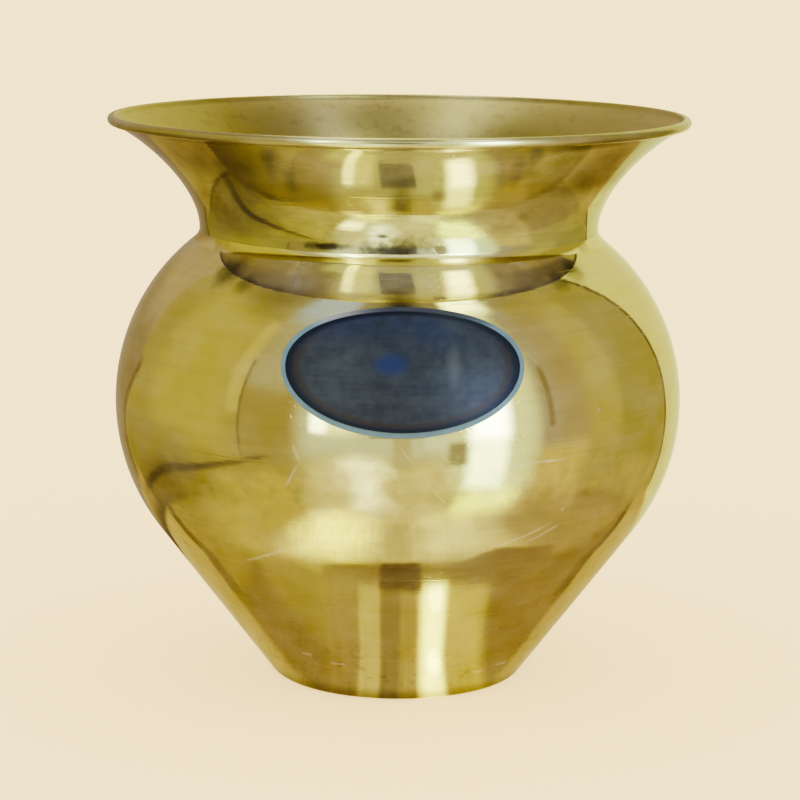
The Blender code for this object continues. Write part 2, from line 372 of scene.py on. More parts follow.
def lower_outside(taper):
    """Down the outside of the lap, the belly, the taper and the base's edge, then in to the axis."""
    lap = belly_curve(np.linspace(belly_angle(lap_height, lap_inset), 0, LAP_POINTS), lap_inset)
    belly = belly_curve(np.linspace(0, taper, BELLY_POINTS))
    edge = arc((base_radius - base_edge, base_edge), base_edge, taper, DOWN, EDGE_POINTS)
    taper_face = line(belly[-1], edge[0], TAPER_POINTS)[1:-1]
    ring = line(edge[-1], (dish_edge, 0), RING_POINTS)[1:]
    dish = line((dish_radius, DISH_RISE), (POLE_RADIUS, DISH_RISE), DISH_POINTS)
    return np.vstack((lap, belly, taper_face, edge, ring, dish))


inner, outer = lower_inside(taper_angle()), lower_outside(taper_angle())
inside = np.repeat((1.0, 0.0), (len(inner), len(outer)))
poles = np.array(((0, 0, DISH_RISE + wall), (0, 0, DISH_RISE)))
lower_shell = shell("lower_shell", np.vstack((inner, outer)), inside, "lower_body", poles)

# %% [markdown]
# The pieces are held by brazing metal, which runs into a corner and sets there as a hollow fillet. Outside
# it shows as a thin bright line where the neck meets the shoulder. Its size wanders as it goes round,
# because it was fed in by hand, so the fillet's two legs are multiplied by a few waves of the turn.

# %% Brazed seams
FILLET_POINTS = 12
SEAM_TURNS = 720
NECK_LEG = 0.0012
NECK_RUN = 0.0019  # how far the metal ran down the shoulder
BELLY_LEG = 0.0012
FILLET_HOLLOW = 0.75  # how far the face sags from the straight line (0) to the corner (1)
SINK = 0.00004  # how far the brazing metal reaches into what it holds
# Each lump has its count round the vessel, its share of the leg and its start.
LUMPS = ((5, 0.05, 0.3), (11, 0.035, 1.9), (23, 0.02, 4.0))


def lumpy(turn):
    """Share by which the brazing metal is thicker at each turn: waves of unlike counts, added to 1."""
    return 1 + sum(share * np.sin(count * turn + start) for count, share, start in LUMPS)


def fillet(start, corner, end):
    """Hollow fillet at every turn: a quadratic Bezier from start to end, pulled towards the corner."""
    pull = (start + end) / 2 * (1 - FILLET_HOLLOW) + corner * FILLET_HOLLOW
    t = np.linspace(0, 1, FILLET_POINTS)[:, None, None]
    return (1 - t) ** 2 * start + 2 * t * (1 - t) * pull + t**2 * end


def seam(name, corner, first_leg, second_leg, leg, node):
    """Ring of brazing metal in a corner: legs along two directions, lumpy round the turn, closed behind."""
    turn = even_turns(SEAM_TURNS)
    reach = (leg * lumpy(turn))[:, None]
    corner = np.array(corner)[None, :] + 0 * reach
    face = fillet(corner + reach * np.array(first_leg), corner, corner + reach * np.array(second_leg))
    loop = np.concatenate((face, corner[None] + 0 * face[:1]))
    radius, rise = loop[..., 0], loop[..., 1]
    grid = around(radius + out_of_round(turn[None, :], rise), turn, rise)
    return piece(name, grid, node, {})


collar_angle = math.acos((neck_radius - belly_centre) / belly_round)
collar = belly_curve(np.array([collar_angle]), SINK)[0] - (SINK, 0)
run_end = belly_curve(np.array([collar_angle - NECK_RUN / belly_round]), SINK)[0]
down_shoulder = (run_end - collar) / NECK_LEG
neck_seam = seam("neck_seam", collar, (0, 1), down_shoulder, NECK_LEG, "neck_braze")

lap_angle = belly_angle(lap_height, lap_inset)
lap_corner = belly_curve(np.array([lap_angle]), wall - SINK)[0]
lap_corner[1] = belly_height + lap_height - SINK
up_wall = (-math.sin(lap_angle), math.cos(lap_angle))
inner_seam = seam("inner_seam", lap_corner, (-1, 0), up_wall, BELLY_LEG, "belly_braze")

# %% [markdown]
# The label is an oval film stuck to the belly, with a slightly domed face on it. Each layer is a small
# section, out from the middle and round its edge, carried round an oval. The oval is measured along the
# belly both ways, so the layer bends with the metal and follows its waves.

# %% Label layers
LABEL_WIDTH = 0.042  # measured round the belly
LABEL_HEIGHT = 0.0225  # measured up the belly
LABEL_RISE = 0.0141  # from the widest line up to the label's middle
LABEL_MARGIN = 0.0009  # film that shows round the face
FILM_LIFT = 0.00002  # gap under the film
FILM_TOP = 0.00035  # thickness of the film
FACE_LIFT = 0.00003  # the two gaps under the face
FACE_EDGE = 0.0002  # thickness of the face at its edge
FACE_CROWN = 0.00065  # thickness of the face in its middle
CROWN_POWER = 2.4  # how flat the dome stays before it falls to its edge
FIRST_RING = 0.02  # size of the ring round the middle, as a share of the oval
LABEL_TURNS = 256
LABEL_RINGS = 40
LABEL_EDGE_POINTS = 8


def label_point(across, up, lift):
    """Point over the belly: across is measured round it, up along its circle, lift out from its surface."""
    angle = LABEL_RISE / belly_round + up / belly_round
    reach = belly_round + lift
    rise = belly_height + reach * np.sin(angle)
    turn = across / (belly_centre + belly_round * np.cos(angle))
    return around(belly_centre + reach * np.cos(angle) + out_of_round(turn, rise), turn, rise)


def label_layer(name, shrink, floor, edge, crown, node):
    """Oval layer: from the middle of its domed top, round its half-round edge, to the middle underneath."""
    share = np.linspace(FIRST_RING, 1, LABEL_RINGS)
    half_width, half_height = LABEL_WIDTH / 2 - shrink, LABEL_HEIGHT / 2 - shrink
    top = floor + edge + (crown - edge) * (1 - share**CROWN_POWER)
    round_edge = np.linspace(math.pi / 2, DOWN, LABEL_EDGE_POINTS)[1:-1]
    edge_lift = floor + edge / 2 + edge / 2 * np.sin(round_edge)
    flat = np.zeros(LABEL_RINGS)
    lift = np.concatenate((top, edge_lift, flat + floor))[:, None]
    out = np.concatenate((share, np.ones(len(round_edge)), share[::-1]))[:, None]
    stand = np.concatenate((flat, edge / 2 * np.cos(round_edge), flat))[:, None]
    turn = even_turns(LABEL_TURNS)[None, :]
    across = (half_width * out + stand) * np.cos(turn)
    up = (half_height * out + stand) * np.sin(turn)
    middle = np.zeros(2)
    poles = label_point(middle, middle, np.array((floor + crown, floor)))
    return piece(name, label_point(across, up, lift + 0 * turn), node, {"oval": out[:, 0]}, poles)


label_film = label_layer(
    "label_film", 0, FILM_LIFT, FILM_TOP, FILM_TOP, "label_backing"
)
label_dome = label_layer(
    "label_dome", LABEL_MARGIN, FILM_TOP + FACE_LIFT, FACE_EDGE, FACE_CROWN, "label_face"
)

# %% [markdown]
# Finishes are node trees, and long chains of Math nodes are hard to read. This small class wraps one
# socket, so that 1 - mask or mask * 0.3 in Python adds the right Math node. Every other kind of node comes
# from its method `node`, which sets the node up first and then fills or links its sockets.

# %% Shader arithmetic
class Flow:
    """A socket that takes part in Python arithmetic; each operation adds one Math node to its tree."""

    def __init__(self, tree, socket=None):
        self.tree = tree
        self.socket = socket

    def node(self, kind, settings=None, sockets=None, output=0):
        """Adds a node, sets it up, then gives its sockets values or links; returns one of its outputs."""
        made = self.tree.nodes.new(kind)
        for name, value in (settings or {}).items():
            setattr(made, name, value)
        for name, value in (sockets or {}).items():
            if isinstance(value, Flow):
                self.tree.links.new(value.socket, made.inputs[name])
            else:
                made.inputs[name].default_value = value
        return Flow(self.tree, made.outputs[output])

    def other(self, output):
        """Another output of the node that this socket belongs to."""
        return Flow(self.tree, self.socket.node.outputs[output])

    def math(self, operation, first, second=0.0):
        """One Math node with its two values."""
        return self.node("ShaderNodeMath", {"operation": operation}, {0: first, 1: second})

    def __add__(self, other):
        return self.math("ADD", self, other)

    def __sub__(self, other):
        return self.math("SUBTRACT", self, other)

    def __rsub__(self, other):
        return self.math("SUBTRACT", other, self)

    def __mul__(self, other):
        return self.math("MULTIPLY", self, other)

    def __truediv__(self, other):
        return self.math("DIVIDE", self, other)

    def __pow__(self, other):
        return self.math("POWER", self, other)

    def __neg__(self):
        return self.math("MULTIPLY", self, -1.0)

    __radd__ = __add__
    __rmul__ = __mul__

    def size(self):
        """The value without its sign."""
        return self.math("ABSOLUTE", self)

    def largest(self, *others):
        """The largest of this and other values at each place."""
        found = self
        for other in others:
            found = self.math("MAXIMUM", found, other)
        return found

    def ease(self, low, high, start=0.0, end=1.0):
        """Smooth step: start below low, end above high, and an S-shaped slope between."""
        settings = {"interpolation_type": "SMOOTHSTEP"}
        sockets = {"Value": self, "From Min": low, "From Max": high, "To Min": start, "To Max": end}
        return self.node("ShaderNodeMapRange", settings, sockets)

    def fade(self, low, high, full=1.0):
        """Smooth step downwards: full below low, and 0 above high."""
        return self.ease(low, high, full, 0.0)

    def between(self, low, high, soft):
        """1 between two values, easing to 0 over a soft edge at each."""
        return self.ease(low - soft / 2, low + soft / 2) * self.fade(high - soft / 2, high + soft / 2)

    def part(self, axis):
        """One part of this vector: X, Y or Z."""
        return self.node("ShaderNodeSeparateXYZ", {}, {"Vector": self}, axis)

    def vector_math(self, operation, other, output=0):
        """One Vector Math node on this vector and another."""
        return self.node("ShaderNodeVectorMath", {"operation": operation}, {0: self, 1: other}, output)

    def away(self, centre, reach):
        """Distance of this vector from a centre, in units of one reach along each axis: 1 on that oval."""
        offset = self.vector_math("SUBTRACT", centre).vector_math("DIVIDE", reach)
        return offset.node("ShaderNodeVectorMath", {"operation": "LENGTH"}, {0: offset}, "Value")

    def stretched(self, angles, scale):
        """This vector turned by three angles and then stretched by three scales."""
        sockets = {"Vector": self, "Rotation": angles, "Scale": scale}
        return self.node("ShaderNodeMapping", {"vector_type": "TEXTURE"}, sockets)

    def clouds(self, scale, detail=2.0, roughness=0.5):
        """Soft random clouds over this vector, from 0 to 1."""
        sockets = {"Vector": self, "Scale": scale, "Detail": detail, "Roughness": roughness}
        return self.node("ShaderNodeTexNoise", {}, sockets)

    def tint(self, without, full):
        """Colour mixed by this value: the first where it is 0, the second where it is 1."""
        sockets = {0: self, 6: rgba(without), 7: rgba(full)}
        return self.node("ShaderNodeMix", {"data_type": "RGBA"}, sockets, 2)

    def brighter(self, factor):
        """This colour made brighter or darker by a factor."""
        return self.node("ShaderNodeVectorMath", {"operation": "SCALE"}, {0: self, "Scale": factor})

    def bump(self, strength, depth):
        """Normal of a surface whose height is this value times a depth."""
        sockets = {"Strength": strength, "Distance": depth, "Height": self}
        return self.node("ShaderNodeBump", {}, sockets, "Normal")

    def show(self, name, kind="ShaderNodeOutputMaterial"):
        """Links this shader to a new output of its tree, and says how many nodes the tree has."""
        output = self.tree.nodes.new(kind)
        self.tree.links.new(self.socket, output.inputs["Surface"])
        print(f"{name}: {len(self.tree.nodes)} nodes")


def rgba(colour):
    """A colour that a socket takes: a link as it is, or three numbers with full alpha."""
    return colour if isinstance(colour, Flow) else (*colour, 1.0)


def new_finish(name):
    """Material with no nodes yet, and the start of its node flow."""
    material = bpy.data.materials.new(name)
    material.use_nodes = True
    material.node_tree.nodes.clear()
    return material, Flow(material.node_tree)


def mark_of(flow, name):
    """A value that the mesh carries at its points."""
    return flow.node("ShaderNodeAttribute", {"attribute_name": name}, {}, "Fac")


# %% [markdown]
# Marks on spun brass follow the way it was made and used. Buffing leaves rings round the axis, so a place
# is told by its heading, its radius and its run along the section. Scratches are straight and cross the
# rings. A picture could be wrapped round the vessel instead, but clouds of nodes have no seam and stay
# sharp from close by.

# %% Places and marks on spun metal
AXIS_GAP = 0.0001  # keeps a heading finite on the axis
SCRATCH_WIDTH = 0.00042
SCRATCH_SWAY = 0.0014  # how far a scratch wanders off its straight line


def spun_place(flow):
    """Place on a spun piece: the point, its heading as a point on a unit circle, its radius and its run."""
    place = flow.node("ShaderNodeTexCoord", output="Object")
    x = place.part("X")
    y = x.other("Y")
    radius = (x * x + y * y) ** 0.5 + AXIS_GAP
    return place, (x / radius, y / radius), radius, mark_of(flow, "run") * MM


def rings(heading, run, turns, per_mm):
    """Clouds stretched round the vessel: turns says how often they change round it, per_mm along it."""
    sockets = {"X": heading[0] * turns, "Y": heading[1] * turns, "Z": run * per_mm}
    return run.node("ShaderNodeCombineXYZ", {}, sockets).clouds(1.0)


def on_vessel(degrees, rise, radius):
    """Point at a turn from the front, a height and a radius."""
    turn = math.radians(degrees)
    return (radius * math.sin(turn), -radius * math.cos(turn), rise)


def along_scratch(place, start, end):
    """1 on a scratch: close to the plane through its ends that stands out from the axis, and between them."""
    start, end = np.array(start), np.array(end)
    middle = (start + end) / 2
    across = np.cross(end - start, middle * (1, 1, 0))
    across = across / np.linalg.norm(across)
    lean = place.vector_math("DOT_PRODUCT", tuple(across), "Value") - float(across @ start)
    sway = (place.clouds(110.0) - 0.5) * SCRATCH_SWAY
    half = np.linalg.norm(end - start) / 2
    thin = (lean + sway).size().fade(0.0, SCRATCH_WIDTH)
    return thin * place.away(tuple(middle), (half,) * 3).fade(0.5, 1.0)


# %% [markdown]
# Polished brass is a mirror with a history. Spinning and buffing leave fine rings, which smear every
# reflection up and down; a clearer layer of polish still shows sharp edges. So the finish mixes two metals,
# a polished one and a hazy one whose highlights stretch across the rings, under a thin white film of dried
# polish. Clouds of haze, scratches, specks, brown stains and painted shade decide how much of each shows,
# and where.

# %% Brass
INSIDE_BRASS = (0.345, 0.257, 0.12)
EDGE_TINT = (0.92, 0.84, 0.62, 1.0)  # colour of the metal at a grazing look
FILM = (0.62, 0.62, 0.60, 1.0)  # dried polish, which scatters a little white light
ACROSS_RINGS = 0.25  # quarter of a turn, from along the rings to across them
RELIEF_STRENGTH = 0.45
RELIEF_DEPTH = 0.00002
NICK_DEPTH = 6.0  # as a multiple of the relief's depth
POLISHED = 0.015  # roughness of the clear metal
SMEARED = 0.24  # roughness of the smeared metal


def metal(flow, colour, roughness, normal, smear=0.0):
    """Metal shader; smear stretches its highlights across the spinning rings."""
    sockets = {"Base Color": colour, "Metallic": 1.0, "Roughness": roughness, "Normal": normal}
    sockets["Specular Tint"] = EDGE_TINT
    if smear:
        sockets.update({"Anisotropic": smear, "Anisotropic Rotation": ACROSS_RINGS})
    return flow.node("ShaderNodeBsdfPrincipled", {}, sockets)


def dull(flow, colour, more=None):
    """Shader of a dull surface with no gloss at all; more gives values for other sockets."""
    sockets = {"Base Color": colour, "Roughness": 1.0, "Specular IOR Level": 0.0}
    return flow.node("ShaderNodeBsdfPrincipled", {}, {**sockets, **(more or {})})


def brass_finish(name, fresh, worn, stains_and_shade, share, film, ring_depth, nicks=(), scratches=()):
    """Brass of two mixed metals. stains_and_shade says where it has brown stains and painted shade; share and
    film say where it is smeared and dull.
    """
    material, flow = new_finish(name)
    place, heading, radius, run = spun_place(flow)
    inside = mark_of(flow, "inside")

    # Patterns: rings of several widths, haze, specks and two sets of fine scratches.
    fine = rings(heading, run, 3.0, 2.6)
    broad = rings(heading, run, 1.4, 0.55)
    groove = rings(heading, run, 0.9, 1.3).ease(0.64, 0.70)
    haze = rings(heading, run, 5.0, 0.18).ease(0.35, 0.70)
    speck = place.clouds(420.0, 3.0, 0.65).ease(0.50, 0.75)
    patchy = place.clouds(130.0, 4.0, 0.65).ease(0.35, 0.75)
    rubbed = place.stretched((0.5, 0.9, 0.2), (0.030, 0.0006, 0.0006)).clouds(1.0, 1.0).ease(0.68, 0.74)
    wiped = place.stretched((1.9, -0.5, 1.1), (0.022, 0.0005, 0.0005)).clouds(1.0, 1.0).ease(0.70, 0.76)

    # Colour: brass, then stains and painted shade on the outside, then the browner inside, which is painted
    # darker towards its left (-X) side as shade.
    colour = broad.ease(0.3, 0.7).tint(fresh, worn)
    bare = inside
    for amount, stain_and_shade_colour in stains_and_shade(place, heading, radius):
        amount = amount * (1 - inside)
        colour = amount.tint(colour, stain_and_shade_colour)
        bare = bare.largest(amount)
    # Painted shade: the inside is tinted darker towards its left (-X) side
    colour = (inside * (speck * 0.3 - heading[0] * 0.2 + 0.65)).tint(colour, INSIDE_BRASS)

    # Relief, and where the surface is scuffed.
    relief = (fine * 0.8 + broad * 0.6 - groove) * ring_depth + place.clouds(75.0) * 3.0
    relief = relief - (rubbed + wiped) * 0.5 + inside * speck * 0.8
    scuffed = speck * 0.03
    for degrees, rise, radius_there, reach in nicks:
        hit = place.away(on_vessel(degrees, rise, radius_there), (reach,) * 3).fade(0.3, 1.0)
        relief = relief - hit * NICK_DEPTH
        scuffed = scuffed.largest(hit * speck)
    for start, end in scratches:
        scuffed = scuffed.largest(along_scratch(place, start, end) * (speck * 0.3 + 0.3))

    # The two metals, mixed, and the film over them.
    bump = relief.bump(RELIEF_STRENGTH, RELIEF_DEPTH)
    clear = metal(flow, colour, haze * 0.025 + fine * 0.015 + inside * 0.28 + POLISHED, bump)
    smeared = metal(flow, colour, broad * 0.06 + inside * 0.16 + SMEARED, bump, 1.0)
    smear_share = share(place) + haze * 0.06 + inside * 0.3
    mixed = flow.node("ShaderNodeMixShader", {}, {0: smear_share, 1: clear, 2: smeared})
    thickness = (haze * 0.5 + patchy * 0.5 + 0.55) * film(place, radius) * (1 - bare * 0.85)
    sockets = {0: thickness + scuffed * 0.5, 1: mixed, 2: dull(flow, FILM)}
    flow.node("ShaderNodeMixShader", {}, sockets).show(name)
    return material


# %% [markdown]
# The mouth was polished less than the body. A painted shade darkens the flare just under the lip at the
# sides, the flare is browner on both sides, and soldering residue sits above the seam at the front. Clouds
# make the edges ragged.

# %% Brass of the mouth
MOUTH_BRASS = (0.58, 0.54, 0.27)
MOUTH_WORN = (0.55, 0.51, 0.25)
# Brown of the flare's sides, also used for the painted shade under the lip
FLARE_BROWN_AND_LIP_SHADE = (0.14, 0.095, 0.038)
# Brown of residue and blots, also used for the painted shade on the front of the shoulder
RESIDUE_AND_SHADE = (0.105, 0.085, 0.055)
THROUGH = 0.010  # reach of a mark into the neck, so that depth hardly counts
# Each spot of residue has its turn from the front in degrees, its height, and its reach round and up.
RESIDUE_SPOTS = (
    (-1.8, 0.0841, 0.0058, 0.0030),
    (-5.2, 0.0869, 0.0017, 0.0006),
    (-20.0, 0.0848, 0.0042, 0.0008),
)


def mouth_stains_and_shade(place, heading, radius):
    """Painted shade under the lip at the sides, brown on both sides of the flare, and spots of residue above
    the seam.
    """
    rise = place.part("Z")
    ragged = place.clouds(260.0, 3.0, 0.6)
    # Painted shade: the flare darkens just under the lip, at its sides
    painted_lip_shade = radius.ease(0.0488, 0.0515) * heading[0].size().ease(0.35, 0.65)
    left = (-heading[0]).ease(0.30, 0.68) * rise.ease(0.0930, 0.0995, 0.40, 1.0)
    right = heading[0].ease(0.50, 0.80) * rise.ease(0.0915, 0.0955, 0.15, 1.0)
    brown = painted_lip_shade.largest(left.largest(right) * (ragged * 0.35 + 0.70))
    spots = []
    for degrees, spot_rise, round_reach, up_reach in RESIDUE_SPOTS:
        spot = place.away(on_vessel(degrees, spot_rise, neck_radius), (round_reach, THROUGH, up_reach))
        spots.append((spot + ragged * 1.6).fade(1.2, 2.1))
    return (brown, FLARE_BROWN_AND_LIP_SHADE), (spots[0].largest(*spots[1:]), RESIDUE_AND_SHADE)


def mouth_film(place, radius):
    """Thicker towards the lip."""
    return radius.ease(0.0410, 0.0470, 0.058, 0.140)


def mouth_share(place):
    """Even, slight smear."""
    return place.clouds(60.0) * 0.06 + 0.02


mouth_brass = brass_finish(
    "mouth_brass", MOUTH_BRASS, MOUTH_WORN, mouth_stains_and_shade, mouth_share, mouth_film, ring_depth=1.0
)
flared_mouth.data.materials.append(mouth_brass)

# %% [markdown]
# The body carries the marks of use: small nicks, long scratches, and two dark blots further round the
# shoulder. Dark patches of painted shade lie on the front of the shoulder, beside the neck and just above the
# label. Random marks would do for the back, but those in front are in the photograph, so all are listed by
# turn and height.

# %% Marks on the body
# Each nick has its turn from the front in degrees, its height, the radius there and its reach.
BODY_NICKS = (
    (40.4, 0.0572, 0.0525, 0.0009),
    (47.1, 0.0475, 0.0525, 0.0009),
    (33.0, 0.0405, 0.0512, 0.0006),
    (-51.0, 0.0345, 0.0487, 0.0008),
    (-57.0, 0.0300, 0.0457, 0.0007),
    (101.0, 0.0600, 0.0518, 0.0009),
    (-128.0, 0.0480, 0.0527, 0.0009),
    (176.0, 0.0390, 0.0507, 0.0010),
)
# Each dark patch on the shoulder has its turn, its height, its reach and its depth. The first five are
# painted shade, the last two are blots.
SHOULDER_SHADE_AND_BLOTS = (
    (-47.0, 0.0796, 0.0034, 0.80),
    (-40.0, 0.0778, 0.0022, 0.55),
    (48.0, 0.0803, 0.0032, 0.80),
    (41.0, 0.0785, 0.0022, 0.55),
    (-0.5, 0.0753, 0.0034, 0.90),
    (150.0, 0.0785, 0.0034, 0.50),
    (-118.0, 0.0778, 0.0028, 0.50),
)
# Each long scratch has the turn and the height of its two ends.
LONG_SCRATCHES = (
    (-37.7, 0.0292, -22.9, 0.0335),
    (-23.5, 0.0333, -15.0, 0.0363),
    (16.5, 0.0334, 31.8, 0.0383),
    (26.0, 0.0346, 34.5, 0.0379),
    (17.2, 0.0495, 34.0, 0.0499),
    (-20.6, 0.0532, -19.2, 0.0496),
    (-19.4, 0.0499, -22.6, 0.0450),
    (-36.0, 0.0093, -30.5, 0.0093),
    (-25.6, 0.0080, -18.3, 0.0080),
    (28.6, 0.0055, 35.7, 0.0053),
    (39.0, 0.0063, 46.4, 0.0060),
    (112.0, 0.0420, 131.0, 0.0465),
    (-95.0, 0.0560, -84.0, 0.0520),
    (-160.0, 0.0340, -147.0, 0.0395),
    (160.0, 0.0120, 172.0, 0.0115),
)


def on_body(degrees, rise):
    """Point on the body's outside: the belly's circle at that height, and below it the straight taper."""
    taper = taper_angle()
    start = belly_curve(np.array([taper]))[0]
    if rise > start[1]:
        radius = belly_centre + math.sqrt(belly_round**2 - (rise - belly_height) ** 2)
    else:
        radius = start[0] + (start[1] - rise) * math.tan(taper)
    return on_vessel(degrees, rise, radius)


print(f"{len(BODY_NICKS)} nicks, {len(SHOULDER_SHADE_AND_BLOTS)} blots, {len(LONG_SCRATCHES)} scratches")

# %% [markdown]
# A painted shade darkens the edge of the base, where it meets the floor; dirt lies just above it, and dried
# polish round the collar. The taper was buffed along the spinning rings, so it smears more than the belly
# does. Painted masks could say where, but heights and clouds follow the shape by themselves.

# %% Brass of the body
BODY_BRASS = (0.60, 0.51, 0.20)
BODY_WORN = (0.57, 0.485, 0.185)
# Brown of dirt and faint clouds, also used for the painted shade at the base's edge
DIRT_AND_SHADE_BROWN = (0.20, 0.14, 0.055)


def body_stains_and_shade(place, heading, radius):
    """Painted shade at the edge of the base, dirt just above it and faint clouds; painted shade and blots on
    the shoulder.
    """
    rise = place.part("Z")
    clouds = place.clouds(38.0, 4.0, 0.6).ease(0.55, 0.80) * 0.25
    # Painted shade: the body turns brown towards the edge of the base, where it meets the floor
    base = rise.fade(0.0005, 0.0035, 0.7)
    dirt = place.clouds(520.0, 3.0, 0.6).ease(0.54, 0.74) * rise.between(0.0015, 0.0125, 0.008) * 0.4
    ragged = place.clouds(260.0, 3.0, 0.6)
    # Painted shade and blots: the patches in front of the shoulder are painted shade, those further round are
    # blots
    shade_and_blots = []
    for degrees, blot_rise, reach, depth in SHOULDER_SHADE_AND_BLOTS:
        blot = place.away(on_body(degrees, blot_rise), (reach,) * 3)
        shade_and_blots.append((blot + ragged * 1.2).fade(0.6, 2.0, depth))
    return (clouds.largest(base, dirt), DIRT_AND_SHADE_BROWN), (shade_and_blots[0].largest(*shade_and_blots[1:]), RESIDUE_AND_SHADE)


def body_film(place, radius):
    """A little thicker on the taper, and thicker again at the front and back of the collar."""
    rise = place.part("Z")
    side = rise.other("X").size()
    collar_film = rise.ease(0.0765, 0.0790, 0.0, 0.12) * side.ease(0.018, 0.028, 1.0, 0.2)
    return radius.ease(0.026, 0.040, 0.070, 0.060) + collar_film


def body_share(place):
    """More smear on the taper than on the belly."""
    return place.part("Z").ease(0.026, 0.034, 0.20, 0.03)


scratches = [(on_body(*ends[:2]), on_body(*ends[2:])) for ends in LONG_SCRATCHES]
body_brass = brass_finish(
    "body_brass", BODY_BRASS, BODY_WORN, body_stains_and_shade, body_share, body_film, 0.5, BODY_NICKS, scratches,
)
for bowl_half in (upper_shell, lower_shell):
    bowl_half.data.materials.append(body_brass)

# %% [markdown]
# Brazing metal is paler and less polished than the sheet, because a buff can't reach into the corner. Brown
# flux and old polish stay on it in patches.

# %% Brazing metal
BRAZE = (0.66, 0.58, 0.30)
FLUX_BROWN = (0.20, 0.13, 0.05)


def braze_finish(name):
    """Gritty pale metal with rougher brown patches."""
    material, flow = new_finish(name)
    place = flow.node("ShaderNodeTexCoord", output="Object")
    grit = place.clouds(900.0, 3.0, 0.6)
    patches = place.clouds(110.0).ease(0.55, 0.70)
    colour = (patches * 0.4).tint(BRAZE, FLUX_BROWN)
    metal(flow, colour, grit * 0.08 + patches * 0.12 + 0.10, grit.bump(0.3, 0.00003)).show(name)
    return material


braze = braze_finish("brazing_metal")
for ring_of_braze in (neck_seam, inner_seam):
    ring_of_braze.data.materials.append(braze)

# %% [markdown]
# The label is a plain oval: a light-blue margin, dark along its upper edge with a painted lilac highlight on
# its left, round a mottled slate-blue field with a navy edge and a brown ring just inside it. A painted pale
# reflection of a window lies on the field's right. The edge follows the oval, so it reads the layer's own
# value, which is 0 in the middle and 1 at the edge. A flat colour would look like a hole in the bright metal.

# %% Label finishes
MARGIN_BLUE = (0.075, 0.140, 0.205)
MARGIN_PALE = (0.15, 0.24, 0.32)
MARGIN_TOP = (0.045, 0.045, 0.075)
# Painted highlight on the left part of the margin's upper edge
MARGIN_LILAC_HIGHLIGHT = (0.36, 0.35, 0.40)
NAVY = (0.008, 0.013, 0.034)
EDGE_BROWN = (0.034, 0.024, 0.028)
SLATE = (0.023, 0.030, 0.050)
SLATE_PALE = (0.039, 0.050, 0.073)
SLATE_BLUE = (0.016, 0.030, 0.120)
# Painted reflection of the right window on the label's field
PAINTED_WINDOW_REFLECTION = (0.10, 0.12, 0.15)
LABEL_GLOSS = 0.25
LABEL_THROUGH = 0.03  # reach of a mark into the label, so that depth hardly counts

label_low, label_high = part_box("label_face")
label_middle = (label_low.z + label_high.z) / 2


def label_finish(name, draw, roughness):
    """Label film: draw gives its colour from the place, the oval's value and the height in mm."""
    material, flow = new_finish(name)
    place = flow.node("ShaderNodeTexCoord", output="Object")
    rise = (place.part("Z") - label_middle) * MM
    grain = place.clouds(1500.0)
    sockets = {"Base Color": draw(place, mark_of(flow, "oval"), rise), "Specular IOR Level": LABEL_GLOSS}
    sockets.update({"Roughness": grain * 0.1 + roughness, "Normal": grain.bump(0.1, 0.00002)})
    flow.node("ShaderNodeBsdfPrincipled", {}, sockets).show(name)
    return material


def margin_colour(place, oval, rise):
    """Light blue with faint clouds; the upper edge is dark, with a painted pale lilac highlight on its left.
    """
    side = place.part("X") * MM
    colour = place.clouds(260.0).tint(MARGIN_BLUE, MARGIN_PALE)
    # Painted highlight: pale lilac along the left part of the upper edge
    upper = side.ease(-16.0, -2.0).tint(MARGIN_LILAC_HIGHLIGHT, MARGIN_TOP)
    return rise.ease(6.0, 9.5, 0.0, 0.9).tint(colour, upper)


def face_colour(place, oval, rise):
    """Mottled slate, bluer near the top, with a blue cloud and a painted pale reflection of a window; a brown
    ring and a navy edge.
    """
    streaks = place.stretched((0, 0, 0), (0.012, 0.012, 0.0007)).clouds(1.0, 3.0)
    mottled = place.clouds(420.0, 4.0, 0.65) * 0.7 + streaks * 0.3
    colour = mottled.ease(0.32, 0.68).tint(SLATE, SLATE_PALE)
    upper = rise.ease(2.0, 9.0, 0.0, 0.6) * place.clouds(150.0, 3.0).ease(0.35, 0.70, 0.25, 1.0)
    colour = upper.tint(colour, SLATE_BLUE)
    ragged = streaks * 0.8 - 0.4
    cloud_middle = (-0.002, -belly_radius, label_middle + 0.0014)
    cloud = place.away(cloud_middle, (0.0030, LABEL_THROUGH, 0.0020)) + ragged
    colour = cloud.fade(0.3, 1.3, 0.85).tint(colour, SLATE_BLUE)
    # Painted reflection: a pale upright streak on the field's right, where the right window would show
    reflection_middle = (0.0086, -belly_radius, label_middle + 0.0010)
    smear = place.away(reflection_middle, (0.0013, LABEL_THROUGH, 0.0036)) + ragged
    colour = smear.fade(0.0, 1.5, 0.4).tint(colour, PAINTED_WINDOW_REFLECTION)
    rim = oval + streaks * 0.06
    brown = rim.between(0.90, 0.97, 0.06) * rise.ease(2.0, 6.0, 0.7, 0.1)
    return rim.ease(0.93, 1.0).tint(brown.tint(colour, EDGE_BROWN), NAVY)


label_film.data.materials.append(label_finish("label_margin", margin_colour, 0.35))
label_dome.data.materials.append(label_finish("label_face", face_colour, 0.34))
# The neck's mirror leaves the label out, because there it would be one dark streak.
for layer in (label_film, label_dome):
    layer.visible_glossy = False

# %% [markdown]
# The vessel stands on a plain cream floor. A mirror shows the room more than itself, so the floor is kept
# out of the reflections, and the room below takes its place there. Part of the floor's light is its own,
# which keeps the shadow under the bowl faint.

# %% Floor
FLOOR_SIZE = 12.0
BACKDROP = (1.933, 1.485, 0.623)  # light of the cream background, as the camera sees it
EVEN_LIGHT = 1.5  # light that falls on dull surfaces from all round
SELF_LIT = 0.55  # share of the floor's light that is its own


